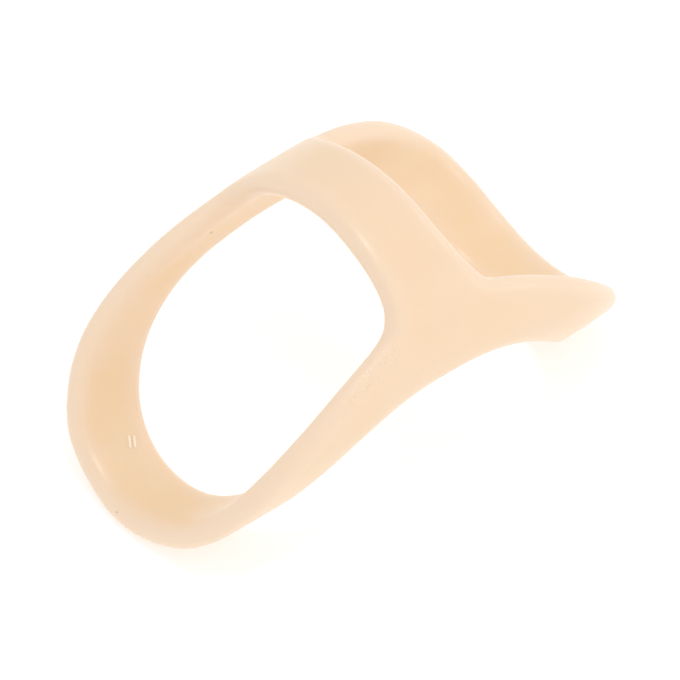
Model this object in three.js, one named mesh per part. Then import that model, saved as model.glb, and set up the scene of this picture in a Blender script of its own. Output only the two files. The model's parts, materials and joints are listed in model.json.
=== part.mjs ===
// Finger splint, moulded in one piece: a thin oval tunnel for the finger, trimmed by two curved rims so that
// a narrow pad is left on top and two loops below, with one large oval window between the loops.
// Millimetres. X runs along the finger, from the long loop to the short one, and Z is up. The splint stands
// on its two loops, and the origin is the middle of its footprint.
import * as THREE from "three";
import { mergeVertices } from "three/addons/utils/BufferGeometryUtils.js";

// The finger's tunnel, measured inside the wall, from the finger's axis
const tunnelWidth = 19.5;
const tunnelRise = 8.3;
const tunnelDrop = 8.15;
const wall = 1.85;
const edgeRound = 0.9;

// The loops are flattened by this much underneath, where they stand
const footDepth = 0.1;

// Lengths along the finger; each reach runs from the pad's middle to the end of a loop
const padLength = 6.2;
const longReach = 22.05;
const shortReach = 18.45;
const longBand = 5.85;
const shortBand = 5.8;

// The window's two tips stand this many degrees round from the pad's middle, and lean to the short loop.
// Each half of its outline is an ellipse at a fullness of 2, and squarer above that.
const windowTurn = 88.8;
const tipLean = 0.3;
const longFullness = 2.45;
const shortFullness = 2.2;

// How the mesh is divided: rows go round the tunnel, from the pad's middle to the notches where the pad ends,
// and on from there to the loops' middle
const notchTurn = 60;
const padRows = 16;
const loopRows = 30;
const columns = 7;
const edgeSteps = 5;

// The two rims: how far each has gone, from the pad's edge (0) to the end of its loop (1), at each turn
const RIMS = [
  { turn: 0, long: 0, short: 0 },
  { turn: 30, long: 0.009, short: 0.005 },
  { turn: 45, long: 0.018, short: 0.026 },
  { turn: 52, long: 0.029, short: 0.05 },
  { turn: 58, long: 0.058, short: 0.081 },
  { turn: 61, long: 0.083, short: 0.107 },
  { turn: 63, long: 0.12, short: 0.17 },
  { turn: 66, long: 0.184, short: 0.258 },
  { turn: 72, long: 0.32, short: 0.397 },
  { turn: 80, long: 0.468, short: 0.552 },
  { turn: 90, long: 0.62, short: 0.692 },
  { turn: 101, long: 0.744, short: 0.81 },
  { turn: 112, long: 0.83, short: 0.892 },
  { turn: 135, long: 0.941, short: 0.976 },
  { turn: 157, long: 0.98, short: 0.998 },
  { turn: 180, long: 1, short: 1 },
];

// The tunnel's sections, from the end of the long loop (-1) to the end of the short one (1), as shares of
// its width and of its drop
const SECTIONS = [
  { along: -1, wide: 0.93, drop: 1 },
  { along: -0.75, wide: 0.941, drop: 0.98 },
  { along: -0.5, wide: 0.96, drop: 0.956 },
  { along: -0.25, wide: 0.981, drop: 0.944 },
  { along: 0, wide: 1, drop: 0.932 },
  { along: 0.25, wide: 1.007, drop: 0.938 },
  { along: 0.5, wide: 0.999, drop: 0.946 },
  { along: 0.75, wide: 0.977, drop: 0.975 },
  { along: 1, wide: 0.931, drop: 1 },
];

// Reads a column of a table on a smooth curve that never swings past its rows
function readTable(rows, key, column, at) {
  const rise = (i) => (rows[i + 1][column] - rows[i][column]) / (rows[i + 1][key] - rows[i][key]);
  const slope = (i) => {
    const before = i > 0 ? rise(i - 1) : 0;
    const after = i < rows.length - 1 ? rise(i) : 0;
    return before * after > 0 ? (2 * before * after) / (before + after) : 0;
  };
  const next = rows.findIndex((row, i) => i > 0 && at <= row[key]);
  const i = next < 0 ? rows.length - 2 : next - 1;
  const span = rows[i + 1][key] - rows[i][key];
  const t = THREE.MathUtils.clamp((at - rows[i][key]) / span, 0, 1);
  const rest = 1 - t;
  return (
    rest * rest * (1 + 2 * t) * rows[i][column] +
    rest * rest * t * span * slope(i) +
    t * t * (3 - 2 * t) * rows[i + 1][column] -
    t * t * rest * span * slope(i + 1)
  );
}

// A point of the wall is { turn, x }: degrees round from the pad's middle, and the place along the finger.
// This is where it lies in space, halfway through the wall, on the near side of the tunnel.
function middlePoint({ turn, x }) {
  const angle = THREE.MathUtils.degToRad(turn);
  const across = Math.sin(angle);
  const up = Math.cos(angle);
  const along = x < 0 ? x / longReach : x / shortReach;
  const halfWidth = (tunnelWidth / 2) * readTable(SECTIONS, "along", "wide", along) + wall / 2;
  const drop = tunnelDrop * readTable(SECTIONS, "along", "drop", along) + wall / 2;
  const halfHeight = up > 0 ? tunnelRise + wall / 2 : drop;
  const radius = 1 / Math.hypot(across / halfWidth, up / halfHeight);
  return new THREE.Vector3(x, -radius * across, radius * up);
}

// The direction straight out of the wall
function outward({ turn, x }) {
  const step = 0.01;
  const round = middlePoint({ turn: turn + step, x }).sub(middlePoint({ turn: turn - step, x }));
  const along = middlePoint({ turn, x: x + step }).sub(middlePoint({ turn, x: x - step }));
  return round.cross(along).normalize();
}

function between(a, b, share) {
  return { turn: THREE.MathUtils.lerp(a.turn, b.turn, share), x: THREE.MathUtils.lerp(a.x, b.x, share) };
}

// Points along a curve of the wall, the same distance apart
function spread(curve, from, to, count) {
  const fine = 400;
  const samples = Array.from({ length: fine + 1 }, (_, i) => curve(from + ((to - from) * i) / fine));
  const gone = [0];
  for (let i = 1; i <= fine; i += 1) {
    gone.push(gone[i - 1] + middlePoint(samples[i]).distanceTo(middlePoint(samples[i - 1])));
  }
  return Array.from({ length: count + 1 }, (_, k) => {
    const want = (gone[fine] * k) / count;
    const next = Math.max(1, gone.findIndex((length) => length > want - 1e-6));
    return between(samples[next - 1], samples[next], (want - gone[next - 1]) / (gone[next] - gone[next - 1]));
  });
}

function longRim(turn) {
  const share = readTable(RIMS, "turn", "long", turn);
  return { turn, x: -THREE.MathUtils.lerp(padLength / 2, longReach, share) };
}

function shortRim(turn) {
  const share = readTable(RIMS, "turn", "short", turn);
  return { turn, x: THREE.MathUtils.lerp(padLength / 2, shortReach, share) };
}

// The window's edge, an oval in the unrolled wall: 0 at the long loop, 90 at the tip, 180 at the short loop
function windowEdge(degrees) {
  const angle = THREE.MathUtils.degToRad(degrees);
  const fullness = degrees < 90 ? longFullness : shortFullness;
  const squared = (value) => Math.sign(value) * Math.abs(value) ** (2 / fullness);
  const climb = squared(Math.sin(angle));
  const side = squared(Math.cos(angle));
  const longEdge = longBand - longReach;
  const shortEdge = shortReach - shortBand;
  const middle = THREE.MathUtils.lerp((longEdge + shortEdge) / 2, tipLean, climb * climb);
  return { turn: 180 - (180 - windowTurn) * climb, x: middle - side * ((shortEdge - longEdge) / 2) };
}

// A curve moved into the wall by a distance, to its left (1) or right (-1) in the unrolled wall. Its ends lie
// on the splint's plane of symmetry, so beyond them it goes on as its own mirror image.
function inset(curve, distance, hand) {
  const mirrored = (point, end) => ({ turn: 2 * end.turn - point.turn, x: point.x });
  return curve.map((point, i) => {
    const before = curve[i - 1] ?? mirrored(curve[i + 1], point);
    const after = curve[i + 1] ?? mirrored(curve[i - 1], point);
    const { y, z } = middlePoint(point);
    const perDegree = THREE.MathUtils.degToRad(Math.hypot(y, z));
    const round = (after.turn - before.turn) * perDegree;
    const along = after.x - before.x;
    const reach = (hand * distance) / Math.hypot(round, along);
    return { turn: point.turn - (along * reach) / perDegree, x: point.x + round * reach };
  });
}

// A strip of the wall between two curves
function strip(left, right) {
  const shares = Array.from({ length: columns + 1 }, (_, k) => k / columns);
  return left.map((point, i) => shares.map((share) => between(point, right[i], share)));
}

// The near half of the splint, and its mirror image. Nothing reaches below the plane that the feet stand on.
const standing = tunnelDrop + wall - footDepth;
const corners = [];

function addTriangle(a, b, c) {
  for (const p of [a, b, c]) {
    corners.push(p.x, p.y, Math.max(p.z, -standing));
  }
  for (const p of [a, c, b]) {
    corners.push(p.x, -p.y, Math.max(p.z, -standing));
  }
}

// Joins two or more rows of points; the faces look to the right-hand side of the row order
function addRows(rows) {
  for (let i = 1; i < rows.length; i += 1) {
    for (let k = 1; k < rows[i].length; k += 1) {
      addTriangle(rows[i - 1][k - 1], rows[i][k - 1], rows[i][k]);
      addTriangle(rows[i - 1][k - 1], rows[i][k], rows[i - 1][k]);
    }
  }
}

// The outer and the inner surface over a grid of wall points
function addSheet(grid) {
  const surface = (lift) =>
    grid.map((row) => row.map((point) => middlePoint(point).addScaledVector(outward(point), lift)));
  addRows(surface(wall / 2));
  addRows(surface(-wall / 2).map((row) => row.reverse()));
}

// The rounded edge that runs along a curve and closes the wall there
function addEdge(rim, seam, hand) {
  const rows = seam.map((point, i) => {
    const base = middlePoint(point);
    const out = outward(point);
    const forward = middlePoint(rim[i]).sub(base).projectOnPlane(out).normalize();
    return Array.from({ length: edgeSteps + 1 }, (_, k) => {
      const angle = Math.PI * (0.5 - k / edgeSteps);
      return base
        .clone()
        .addScaledVector(forward, edgeRound * Math.cos(angle))
        .addScaledVector(out, (wall / 2) * Math.sin(angle));
    });
  });
  addRows(hand > 0 ? rows.map((row) => row.reverse()) : rows);
}

function joined(first, second) {
  return [...first, ...second.slice(1)];
}

function splintGeometry() {
  // The three edges, and the seams where the flat wall ends and its rounded edge begins
  const rims = [longRim, shortRim].map((rim) =>
    joined(spread(rim, 0, notchTurn, padRows), spread(rim, notchTurn, 180, loopRows)),
  );
  const window = joined(spread(windowEdge, 0, 90, loopRows), spread(windowEdge, 90, 180, loopRows));
  const longSeam = inset(rims[0], edgeRound, 1);
  const shortSeam = inset(rims[1], edgeRound, -1);
  const windowSeam = inset(window, edgeRound, 1);

  // The wall is two strips, which share the pad's middle line and part at the window's tip
  const tip = windowSeam[loopRows];
  const middle = between(longSeam[0], shortSeam[0], 0.5);
  const spine = Array.from({ length: padRows + 1 }, (_, i) => between(middle, tip, i / padRows));
  addSheet(strip(longSeam, joined(spine, windowSeam.slice(0, loopRows + 1).reverse())));
  addSheet(strip(joined(spine, windowSeam.slice(loopRows)), shortSeam));

  addEdge(rims[0], longSeam, 1);
  addEdge(rims[1], shortSeam, -1);
  addEdge(window, windowSeam, 1);

  const loose = new THREE.BufferGeometry();
  loose.setAttribute("position", new THREE.Float32BufferAttribute(corners, 3));
  const geometry = mergeVertices(loose, 1e-4);
  geometry.computeVertexNormals();
  return geometry;
}

const mouldedPlastic = new THREE.MeshStandardMaterial({ color: "#f6dcbf", roughness: 0.42, metalness: 0 });

const body = new THREE.Mesh(splintGeometry(), mouldedPlastic);
body.name = "splint_body";
body.position.set((longReach - shortReach) / 2, 0, standing);

const fingerSplint = new THREE.Group();
fingerSplint.add(body);

export default fingerSplint;
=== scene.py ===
"""A one-piece moulded finger splint on a pale studio floor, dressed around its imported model.

Lengths are in metres, as Blender has them. X runs along the finger, from the long loop to the short one, Z
is up, and the splint stands on its two loops.
"""

import json
import math

import bpy
from bpy.props import FloatProperty, FloatVectorProperty, IntProperty, PointerProperty
from bpy.types import Operator, Panel, PropertyGroup
from mathutils import Matrix, Vector
from mathutils.geometry import intersect_point_line
from mathutils.kdtree import KDTree


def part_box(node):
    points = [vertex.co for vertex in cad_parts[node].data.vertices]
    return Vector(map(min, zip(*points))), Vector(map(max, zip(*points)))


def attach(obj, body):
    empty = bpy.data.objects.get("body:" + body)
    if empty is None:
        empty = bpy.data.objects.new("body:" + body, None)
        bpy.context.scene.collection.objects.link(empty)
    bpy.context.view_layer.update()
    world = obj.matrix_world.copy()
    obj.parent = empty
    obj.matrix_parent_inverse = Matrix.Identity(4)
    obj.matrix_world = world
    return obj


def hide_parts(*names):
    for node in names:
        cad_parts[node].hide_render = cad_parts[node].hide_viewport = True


bl_info = {
    "name": "Finger splint",
    "version": (1, 0, 0),
    "blender": (4, 5, 0),
    "location": "3D View > Sidebar > Splint",
    "description": "Builds a moulded finger splint and the stage it stands on",
    "category": "Object",
}

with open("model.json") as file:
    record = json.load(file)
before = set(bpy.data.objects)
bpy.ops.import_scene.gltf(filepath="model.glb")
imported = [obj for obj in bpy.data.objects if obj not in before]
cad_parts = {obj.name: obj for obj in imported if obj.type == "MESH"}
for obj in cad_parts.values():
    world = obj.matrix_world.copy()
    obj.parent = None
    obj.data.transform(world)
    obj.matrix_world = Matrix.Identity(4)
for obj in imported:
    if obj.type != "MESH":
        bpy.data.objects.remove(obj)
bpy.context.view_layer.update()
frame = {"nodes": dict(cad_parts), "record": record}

MM = 0.001

# The finger's axis, below the middle of the pad
SEAT = Vector(next(m for m in frame["record"]["mounts"] if m["name"] == "finger_seat")["pos_m"])
LOW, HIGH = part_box("splint_body")

# A point of the wall that faces the finger, or away from it, by less than this lies on a rounded edge
EDGE_FACING = 0.45

# How far the painted glow at the edges, paler where light shines through the thin plastic, reaches into the
# wall
EDGE_REACH = 2.2 * MM

# How far apart the plastic's patterns lie: clouds and flow marks from the melt, the mould's skin, and pits
CLOUD_SPAN = 5 * MM
FLOW_SPAN = 1.6 * MM
SKIN_SPAN = 0.35 * MM
PIT_SPAN = 0.3 * MM

# How much light scatters inside the plastic. The ticks' buried half is unlit, so none scatters in them.
BODY_SCATTER = 0.3
TICK_SCATTER = 0.0

# Burnt specks in the wall: their places on the splint as it stands, and their sizes, in millimetres
SPECKS = (
    {"x": -20.09, "y": 0.14, "z": 1.28, "size": 0.12},
    {"x": -3.91, "y": 9.16, "z": 12.26, "size": 0.2},
)

# A band of fine pits on the near flank, from one end to the other, in millimetres
SCUFF = {"from": (-2.7, -10.2, 14.5), "to": (-7.4, -10.85, 12.6), "width": 1.5}

# The softboxes: their distance and widths in metres, their places round the splint in degrees, and watts
SOFTBOX_DISTANCE = 0.5
SOFTBOXES = (
    {"name": "top_softbox", "azimuth": 0, "elevation": 86, "width": 0.1, "power": 0.37},
    {"name": "right_softbox", "azimuth": 42, "elevation": 21, "width": 0.12, "power": 0.14},
    {"name": "front_softbox", "azimuth": 6, "elevation": 54, "width": 0.1, "power": 0.06},
    {"name": "end_softbox", "azimuth": 80, "elevation": 42, "width": 0.13, "power": 0.12},
)

# Width of the camera's sensor, in millimetres
SENSOR_WIDTH = 36


def linear(code):
    """A hex sRGB colour as linear red, green and blue."""
    channels = [int(code[i : i + 2], 16) / 255 for i in (0, 2, 4)]
    return [c / 12.92 if c <= 0.04045 else ((c + 0.055) / 1.055) ** 2.4 for c in channels]


def rgba(colour):
    return (*colour, 1.0)


class SplintSizes(PropertyGroup):
    smooth_levels: IntProperty(
        name="Smooth levels",
        description="How often the body's faces are halved to round it",
        default=2,
        min=0,
        max=2,
    )
    unevenness: FloatProperty(
        name="Unevenness",
        description="How far the moulded wall strays from its true shape",
        default=0.07 * MM,
        subtype="DISTANCE",
        unit="LENGTH",
    )
    unevenness_span: FloatProperty(
        name="Unevenness span",
        description="How far apart the wall's low swells lie",
        default=5 * MM,
        subtype="DISTANCE",
        unit="LENGTH",
    )
    mark_length: FloatProperty(
        name="Mark length",
        description="Length of each of the two raised size ticks inside the long loop",
        default=1.0 * MM,
        subtype="DISTANCE",
        unit="LENGTH",
    )
    mark_width: FloatProperty(
        name="Mark width",
        description="Width of each size tick",
        default=0.2 * MM,
        subtype="DISTANCE",
        unit="LENGTH",
    )
    mark_spacing: FloatProperty(
        name="Mark spacing",
        description="Distance between the two size ticks",
        default=0.36 * MM,
        subtype="DISTANCE",
        unit="LENGTH",
    )
    mark_height: FloatProperty(
        name="Mark height",
        description="How far each size tick stands proud of the wall",
        default=0.08 * MM,
        subtype="DISTANCE",
        unit="LENGTH",
    )
    mark_along: FloatProperty(
        name="Mark along",
        description="Place of the size ticks along the finger, from the pad's middle",
        default=-17.5 * MM,
        subtype="DISTANCE",
        unit="LENGTH",
    )
    mark_turn: FloatProperty(
        name="Mark turn",
        description="Place of the size ticks round the tunnel, from the pad's middle",
        default=math.radians(-152),
        subtype="ANGLE",
        unit="ROTATION",
    )
    mark_slant: FloatProperty(
        name="Mark slant",
        description="Turn of the size ticks out of the loop's own direction",
        default=math.radians(-30),
        subtype="ANGLE",
        unit="ROTATION",
    )


class SplintColours(PropertyGroup):
    body: FloatVectorProperty(
        name="Wall",
        description="The plastic over the middle of the wall's outer face",
        subtype="COLOR",
        default=linear("F0D6B9"),
    )
    # Painted light: the thin rounded edges are given a paler colour to stand for the light that shines
    # through them
    edge: FloatVectorProperty(
        name="Edge",
        description="The plastic at the thin rounded edges, where light comes through",
        subtype="COLOR",
        default=linear("F1D9BF"),
    )
    # Painted highlight: the ticks are given a paler colour than the wall to stand for the light they catch
    raised: FloatVectorProperty(
        name="Ticks",
        description="The plastic of the raised ticks, which catch the light",
        subtype="COLOR",
        default=linear("FFEBD2"),
    )
    # Painted shade: the inner face is tinted deeper to stand for the shade in the hollow of the wall
    inside: FloatVectorProperty(
        name="Inside",
        description="The plastic in the hollow of the wall's inner face",
        subtype="COLOR",
        default=linear("F0D2AA"),
    )
    speck: FloatVectorProperty(
        name="Speck",
        description="The few dark specks in the plastic",
        subtype="COLOR",
        default=linear("A8703C"),
    )
    floor: FloatVectorProperty(
        name="Floor",
        description="The studio floor",
        subtype="COLOR",
        default=linear("D8D8D8"),
    )


class StageSizes(PropertyGroup):
    view_azimuth: FloatProperty(
        name="View azimuth",
        description="Camera's turn about Z from looking along +Y",
        default=math.radians(-38.99),
        subtype="ANGLE",
        unit="ROTATION",
    )
    view_elevation: FloatProperty(
        name="View elevation",
        description="Camera's height above the horizon",
        default=math.radians(44.74),
        subtype="ANGLE",
        unit="ROTATION",
    )
    view_roll: FloatProperty(
        name="View roll",
        description="Camera's turn about its own line of sight",
        default=math.radians(-0.75),
        subtype="ANGLE",
        unit="ROTATION",
    )
    view_distance: FloatProperty(
        name="View distance",
        description="From the finger's axis to the camera",
        default=479.7 * MM,
        subtype="DISTANCE",
        unit="LENGTH",
    )
    view_width: FloatProperty(
        name="View width",
        description="Width of the picture at the finger's axis",
        default=48.81 * MM,
        subtype="DISTANCE",
        unit="LENGTH",
    )
    aim_right: FloatProperty(
        name="Aim right",
        description="Where the camera aims, right of the finger's axis in the picture",
        default=-1.05 * MM,
        subtype="DISTANCE",
        unit="LENGTH",
    )
    aim_up: FloatProperty(
        name="Aim up",
        description="Where the camera aims, above the finger's axis in the picture",
        default=-3.66 * MM,
        subtype="DISTANCE",
        unit="LENGTH",
    )
    floor_width: FloatProperty(
        name="Floor width",
        description="Width of the studio floor",
        default=6.0,
        subtype="DISTANCE",
        unit="LENGTH",
    )
    sky: FloatProperty(
        name="Surround",
        description="Strength of the even white light from all round",
        default=0.845,
        min=0,
    )
    floor_glow: FloatProperty(
        name="Floor glow",
        description="Light that comes up through the floor, as on a light table",
        default=0.45,
        min=0,
    )


def add_node(tree, kind, settings=None, values=None, links=None):
    """Adds a node, sets its properties and its sockets' values, and links its inputs."""
    node = tree.nodes.new(kind)
    for name, value in (settings or {}).items():
        setattr(node, name, value)
    for name, value in (values or {}).items():
        node.inputs[name].default_value = value
    for name, source in (links or {}).items():
        tree.links.new(source, node.inputs[name])
    return node


def cloudy_colour_with_painted_light(tree, place, colours, edge):
    """The plastic's colour, with painted light: a paler painted glow at the edges, deeper in clouds of
    random tone, and deepest on the inner face as painted shade of the hollow.
    """
    from_edge = add_node(tree, "ShaderNodeAttribute", {"attribute_name": "from_edge"}).outputs["Fac"]
    inner_face_shade_mask = add_node(tree, "ShaderNodeAttribute", {"attribute_name": "inner_face_shade_mask"}).outputs["Fac"]
    cloud = add_node(
        tree,
        "ShaderNodeTexNoise",
        values={"Scale": 1 / CLOUD_SPAN, "Detail": 3.0, "Roughness": 0.5},
        links={"Vector": place},
    ).outputs["Fac"]
    wall_core = add_node(
        tree,
        "ShaderNodeMapRange",
        {"interpolation_type": "SMOOTHSTEP"},
        {"From Min": 0.0, "From Max": 1.0, "To Min": 0.0, "To Max": 1.0},
        {"Value": from_edge},
    ).outputs["Result"]
    # Painted light: towards the edges the colour turns to the paler edge colour
    outer = add_node(
        tree,
        "ShaderNodeMix",
        {"data_type": "RGBA"},
        {"A": rgba(edge), "B": rgba(colours.body)},
        {"Factor": wall_core},
    ).outputs["Result"]
    clouded = add_node(
        tree,
        "ShaderNodeMapRange",
        {"interpolation_type": "SMOOTHSTEP"},
        {"From Min": 0.33, "From Max": 0.67, "To Min": 0.3, "To Max": 0.85},
        {"Value": cloud},
    ).outputs["Result"]
    # The clouds are random tone; they grow stronger on the inner face as painted shade
    facing = add_node(
        tree,
        "ShaderNodeMapRange",
        {"interpolation_type": "SMOOTHSTEP"},
        {"From Min": 0.0, "From Max": 1.0, "To Min": 0.45, "To Max": 1.0},
        {"Value": inner_face_shade_mask},
    ).outputs["Result"]
    cloud_tone_and_inner_shade = add_node(
        tree,
        "ShaderNodeMath",
        {"operation": "MULTIPLY"},
        links={0: clouded, 1: facing},
    ).outputs["Value"]
    hollow = add_node(
        tree,
        "ShaderNodeMath",
        {"operation": "MULTIPLY"},
        links={0: cloud_tone_and_inner_shade, 1: wall_core},
    ).outputs["Value"]
    # Painted shade: the deeper inside colour, laid on by the inner-face mask away from the edges
    return add_node(
        tree,
        "ShaderNodeMix",
        {"data_type": "RGBA"},
        {"B": rgba(colours.inside)},
        {"Factor": hollow, "A": outer},
    ).outputs["Result"]


def add_specks(tree, place, colour, speck_colour):
    """Darkens a colour at each burnt speck, which fades out from a quarter of its size to all of it."""
    for speck in SPECKS:
        away = add_node(
            tree,
            "ShaderNodeVectorMath",
            {"operation": "DISTANCE"},
            {1: [speck[axis] * MM for axis in "xyz"]},
            {0: place},
        ).outputs["Value"]
        size = speck["size"] * MM
        spot = add_node(
            tree,
            "ShaderNodeMapRange",
            {"interpolation_type": "SMOOTHSTEP"},
            {"From Min": size * 0.25, "From Max": size, "To Min": 0.65, "To Max": 0.0},
            {"Value": away},
        ).outputs["Result"]
        colour = add_node(
            tree,
            "ShaderNodeMix",
            {"data_type": "RGBA"},
            {"B": rgba(speck_colour)},
            {"Factor": spot, "A": colour},
        ).outputs["Result"]
    return colour


def skin_relief(tree, place, flow):
    """The surface's fine relief: the mould's skin, faint flow marks, and pits where it was scuffed."""
    skin = add_node(
        tree,
        "ShaderNodeTexNoise",
        values={"Scale": 1 / SKIN_SPAN, "Detail": 2.0, "Roughness": 0.6},
        links={"Vector": place},
    ).outputs["Fac"]
    skin_bump = add_node(
        tree,
        "ShaderNodeBump",
        values={"Strength": 0.35, "Distance": 0.012 * MM},
        links={"Height": skin},
    ).outputs["Normal"]
    flow_bump = add_node(
        tree,
        "ShaderNodeBump",
        values={"Strength": 0.5, "Distance": 0.05 * MM},
        links={"Height": flow, "Normal": skin_bump},
    ).outputs["Normal"]
    pits = add_node(
        tree,
        "ShaderNodeTexVoronoi",
        values={"Scale": 1 / PIT_SPAN},
        links={"Vector": place},
    ).outputs["Distance"]
    pit_depth = add_node(
        tree,
        "ShaderNodeMapRange",
        {"interpolation_type": "SMOOTHSTEP"},
        {"From Min": 0.1, "From Max": 0.45, "To Min": 0.0, "To Max": 1.0},
        {"Value": pits},
    ).outputs["Result"]
    scuffed = add_node(tree, "ShaderNodeAttribute", {"attribute_name": "scuffed"}).outputs["Fac"]
    return add_node(
        tree,
        "ShaderNodeBump",
        values={"Distance": 0.04 * MM},
        links={"Height": pit_depth, "Strength": scuffed, "Normal": flow_bump},
    ).outputs["Normal"]


def moulded_polypropylene(name, colours, edge, scatter):
    """Injection-moulded polypropylene: cloudy, so light blooms in its thin edges, with a satin gloss."""
    material = bpy.data.materials.new(name)
    material.use_nodes = True
    tree = material.node_tree
    tree.nodes.clear()
    place = add_node(tree, "ShaderNodeTexCoord").outputs["Object"]
    # The colour holds painted light: a paler painted glow at the edges and painted shade on the inner face
    colour = add_specks(tree, place, cloudy_colour_with_painted_light(tree, place, colours, edge), colours.speck)

    # Satin gloss, which the flow marks break
    flow = add_node(
        tree,
        "ShaderNodeTexNoise",
        values={"Scale": 1 / FLOW_SPAN, "Detail": 2.0, "Roughness": 0.5, "Distortion": 0.6},
        links={"Vector": place},
    ).outputs["Fac"]
    gloss = add_node(
        tree,
        "ShaderNodeMapRange",
        values={"From Min": 0.3, "From Max": 0.7, "To Min": 0.285, "To Max": 0.37},
        links={"Value": flow},
    ).outputs["Result"]

    shader = add_node(
        tree,
        "ShaderNodeBsdfPrincipled",
        values={
            "Metallic": 0.0,
            "IOR": 1.49,
            "Subsurface Weight": scatter,
            "Subsurface Radius": (1.0, 0.85, 0.7),
            "Subsurface Scale": 0.9 * MM,
        },
        links={"Base Color": colour, "Roughness": gloss, "Normal": skin_relief(tree, place, flow)},
    )
    add_node(tree, "ShaderNodeOutputMaterial", links={"Surface": shader.outputs["BSDF"]})
    return material


def opal_acrylic(colours, glow):
    """The floor: a matt opal acrylic sheet lit from below, which keeps shadows faint."""
    material = bpy.data.materials.new("opal_acrylic")
    material.use_nodes = True
    tree = material.node_tree
    tree.nodes.clear()
    shader = add_node(
        tree,
        "ShaderNodeBsdfPrincipled",
        values={
            "Base Color": rgba(colours.floor),
            "Roughness": 0.9,
            "Specular IOR Level": 0.0,
            "Emission Color": (1, 1, 1, 1),
            "Emission Strength": glow,
        },
    )
    add_node(tree, "ShaderNodeOutputMaterial", links={"Surface": shader.outputs["BSDF"]})
    return material


def select_only(obj):
    bpy.ops.object.select_all(action="DESELECT")
    obj.select_set(True)
    bpy.context.view_layer.objects.active = obj


def keep_in_mesh(obj):
    """Puts the object's place, turn and scale into its mesh."""
    select_only(obj)
    bpy.ops.object.transform_apply(location=True, rotation=True, scale=True)


def paint_wall(obj):
    """Writes how far each point lies from the wall's edges, how far it faces the finger, and its scuffs:
    the masks for the painted glow at the edges, the painted shade on the inner face, and the pits.
    """
    mesh = obj.data
    half_width = (HIGH.y - LOW.y) / 2
    half_height = (HIGH.z - LOW.z) / 2
    outward = []
    for vertex in mesh.vertices:
        place = vertex.co - SEAT
        radial = Vector((0, place.y / half_width**2, place.z / half_height**2)).normalized()
        outward.append(vertex.normal.dot(radial))

    edge_points = [v.co for v, facing in zip(mesh.vertices, outward) if abs(facing) < EDGE_FACING]
    tree = KDTree(len(edge_points))
    for index, point in enumerate(edge_points):
        tree.insert(point, index)
    tree.balance()
    from_edge = [min(tree.find(v.co)[2] / EDGE_REACH, 1) for v in mesh.vertices]
    # How far each point faces the finger: the mask for the painted shade on the inner face
    inner_face_shade_mask = [(1 - facing) / 2 for facing in outward]

    start, end = (Vector(SCUFF[key]) * MM for key in ("from", "to"))
    scuffed = []
    for vertex, facing in zip(mesh.vertices, outward):
        along = intersect_point_line(vertex.co, start, end)[1]
        nearest = start.lerp(end, min(max(along, 0), 1))
        gone = (vertex.co - nearest).length / (SCUFF["width"] * MM / 2)
        scuffed.append(max(1 - gone, 0) if facing > EDGE_FACING else 0)

    for name, values in (("from_edge", from_edge), ("inner_face_shade_mask", inner_face_shade_mask), ("scuffed", scuffed)):
        attribute = mesh.attributes.new(name, "FLOAT", "POINT")
        attribute.data.foreach_set("value", values)


class SPLINT_OT_body(Operator):
    """Makes the splint's one-piece body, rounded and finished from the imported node"""

    bl_idname = "splint.body"
    bl_label = "Moulded body"

    def execute(self, context):
        sizes = context.scene.splint_sizes
        node = frame["nodes"]["splint_body"]
        body = bpy.data.objects.new("moulded_body", node.data.copy())
        context.scene.collection.objects.link(body)
        select_only(body)
        bpy.ops.mesh.customdata_custom_splitnormals_clear()
        bpy.ops.object.mode_set(mode="EDIT")
        bpy.ops.mesh.select_all(action="SELECT")
        bpy.ops.mesh.remove_doubles(threshold=0.005 * MM)
        bpy.ops.mesh.tris_convert_to_quads(
            face_threshold=math.radians(60), shape_threshold=math.radians(60)
        )
        bpy.ops.object.mode_set(mode="OBJECT")
        bpy.ops.object.shade_smooth()
        rounding = body.modifiers.new("rounding", "SUBSURF")
        rounding.levels = rounding.render_levels = sizes.smooth_levels
        bpy.ops.object.modifier_apply(modifier="rounding")
        swell = bpy.data.textures.new("swell", "CLOUDS")
        swell.noise_scale = sizes.unevenness_span
        swell.noise_depth = 1
        waver = body.modifiers.new("waver", "DISPLACE")
        waver.texture = swell
        waver.texture_coords = "LOCAL"
        waver.mid_level = 0.5
        waver.strength = sizes.unevenness
        bpy.ops.object.modifier_apply(modifier="waver")
        paint_wall(body)
        body.data.materials.clear()
        colours = context.scene.splint_colours
        plastic = moulded_polypropylene("moulded_polypropylene", colours, colours.edge, BODY_SCATTER)
        body.data.materials.append(plastic)
        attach(body, "root")
        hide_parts("splint_body")
        return {"FINISHED"}


def raise_tick(place, turn, sizes, sideways):
    """One rounded ridge, half sunk in the wall, moved sideways from the place of the pair."""
    bpy.ops.mesh.primitive_cube_add(size=1)
    ridge = bpy.context.object
    bpy.ops.object.mode_set(mode="EDIT")
    bpy.ops.transform.resize(value=(sizes.mark_length, sizes.mark_width, sizes.mark_height * 2))
    bpy.ops.transform.translate(value=(0, sideways, 0))
    # Rounded over nearly all of its height
    bpy.ops.mesh.bevel(offset=sizes.mark_height * 0.9, segments=3)
    bpy.ops.object.mode_set(mode="OBJECT")
    bpy.ops.object.shade_smooth()
    ridge.matrix_world = Matrix.Translation(place) @ turn
    keep_in_mesh(ridge)
    bpy.ops.object.mode_set(mode="EDIT")
    bpy.ops.mesh.select_all(action="SELECT")
    bpy.ops.mesh.normals_make_consistent(inside=False)
    bpy.ops.object.mode_set(mode="OBJECT")
    return ridge


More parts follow.
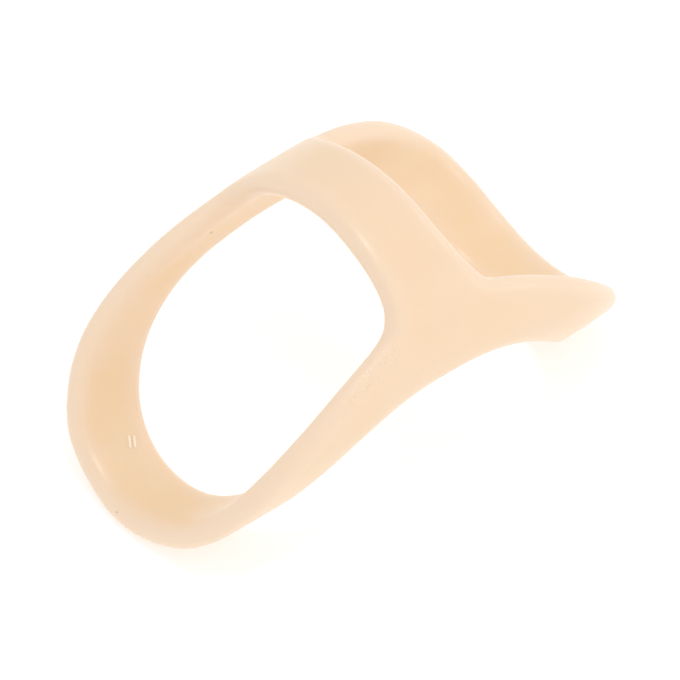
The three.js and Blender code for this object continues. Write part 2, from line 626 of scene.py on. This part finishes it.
class SPLINT_OT_size_ticks(Operator):
    """Raises two plain ticks on the inner face of the long loop"""

    bl_idname = "splint.size_ticks"
    bl_label = "Size ticks"

    def execute(self, context):
        sizes = context.scene.splint_sizes
        body = bpy.data.objects["moulded_body"]
        angle = sizes.mark_turn
        start = SEAT + Vector((sizes.mark_along, 0, 0))
        away = Vector((0, -math.sin(angle), math.cos(angle)))
        hit, place, normal, _ = body.ray_cast(start, away)
        if not hit:
            raise RuntimeError("the size ticks meet no wall")
        slant = Matrix.Rotation(sizes.mark_slant, 4, "Z")
        round_loop = normal.cross(Vector((1, 0, 0))).normalized()
        across = normal.cross(round_loop)
        turn = Matrix((round_loop, across, normal)).transposed().to_4x4() @ slant
        half = sizes.mark_spacing / 2
        ridges = [raise_tick(place, turn, sizes, side) for side in (-half, half)]
        select_only(ridges[0])
        ridges[1].select_set(True)
        bpy.ops.object.join()
        ticks = context.object
        ticks.name = "size_ticks"
        colours = context.scene.splint_colours
        # The ticks' paler colour is a painted highlight
        plastic = moulded_polypropylene("highlighted_tick_polypropylene", colours, colours.raised, TICK_SCATTER)
        ticks.data.materials.append(plastic)
        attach(ticks, "root")
        return {"FINISHED"}


def direction(azimuth, elevation):
    """The way out from the splint at a turn about Z from looking along +Y, and at a height."""
    level = math.cos(elevation)
    return Vector((math.sin(azimuth) * level, -math.cos(azimuth) * level, math.sin(elevation)))


class SPLINT_OT_stage(Operator):
    """Sets the pale floor, the soft studio lights and the camera"""

    bl_idname = "splint.stage"
    bl_label = "Studio stage"

    def execute(self, context):
        scene = context.scene
        sizes = scene.stage_sizes
        scene.view_settings.view_transform = "Standard"

        bpy.ops.mesh.primitive_plane_add(size=sizes.floor_width, location=(0, 0, 0))
        floor = context.object
        floor.name = "studio_floor"
        keep_in_mesh(floor)
        floor.data.materials.append(opal_acrylic(scene.splint_colours, sizes.floor_glow))

        world = bpy.data.worlds.new("white_surround")
        world.use_nodes = True
        background = world.node_tree.nodes["Background"]
        background.inputs["Color"].default_value = (1, 1, 1, 1)
        background.inputs["Strength"].default_value = sizes.sky
        scene.world = world

        for softbox in SOFTBOXES:
            away = direction(math.radians(softbox["azimuth"]), math.radians(softbox["elevation"]))
            bpy.ops.object.light_add(type="AREA", location=SEAT + away * SOFTBOX_DISTANCE)
            light = context.object
            light.name = softbox["name"]
            light.rotation_euler = away.to_track_quat("Z", "Y").to_euler()
            light.data.size = softbox["width"]
            light.data.energy = softbox["power"]

        back = direction(sizes.view_azimuth, sizes.view_elevation)
        right = Vector((math.cos(sizes.view_azimuth), math.sin(sizes.view_azimuth), 0))
        up = back.cross(right)
        place = SEAT + back * sizes.view_distance
        aim = SEAT + right * sizes.aim_right + up * sizes.aim_up
        look = (place - aim).to_track_quat("Z", "Y").to_matrix()
        look = look @ Matrix.Rotation(sizes.view_roll, 3, "Z")
        bpy.ops.object.camera_add(location=place, rotation=look.to_euler())
        camera = context.object
        camera.name = "studio_camera"
        camera.data.sensor_width = SENSOR_WIDTH
        camera.data.lens = SENSOR_WIDTH * sizes.view_distance / sizes.view_width
        camera.data.clip_start = 0.01
        scene.camera = camera
        return {"FINISHED"}


class SPLINT_PT_sidebar(Panel):
    bl_label = "Finger splint"
    bl_space_type = "VIEW_3D"
    bl_region_type = "UI"
    bl_category = "Splint"

    def draw(self, context):
        scene = context.scene
        for group in (scene.splint_sizes, scene.splint_colours, scene.stage_sizes):
            box = self.layout.box()
            for name in group.bl_rna.properties.keys():
                if name not in ("rna_type", "name"):
                    box.prop(group, name)
        for operator in (SPLINT_OT_body, SPLINT_OT_size_ticks, SPLINT_OT_stage):
            self.layout.operator(operator.bl_idname)


CLASSES = (
    SplintSizes,
    SplintColours,
    StageSizes,
    SPLINT_OT_body,
    SPLINT_OT_size_ticks,
    SPLINT_OT_stage,
    SPLINT_PT_sidebar,
)


def register():
    for item in CLASSES:
        bpy.utils.register_class(item)
    bpy.types.Scene.splint_sizes = PointerProperty(type=SplintSizes)
    bpy.types.Scene.splint_colours = PointerProperty(type=SplintColours)
    bpy.types.Scene.stage_sizes = PointerProperty(type=StageSizes)


def unregister():
    del bpy.types.Scene.stage_sizes
    del bpy.types.Scene.splint_colours
    del bpy.types.Scene.splint_sizes
    for item in reversed(CLASSES):
        bpy.utils.unregister_class(item)


def main():
    register()
    bpy.ops.object.select_all(action="DESELECT")
    bpy.ops.splint.body()
    bpy.ops.splint.size_ticks()
    bpy.ops.splint.stage()


if __name__ == "__main__":
    main()
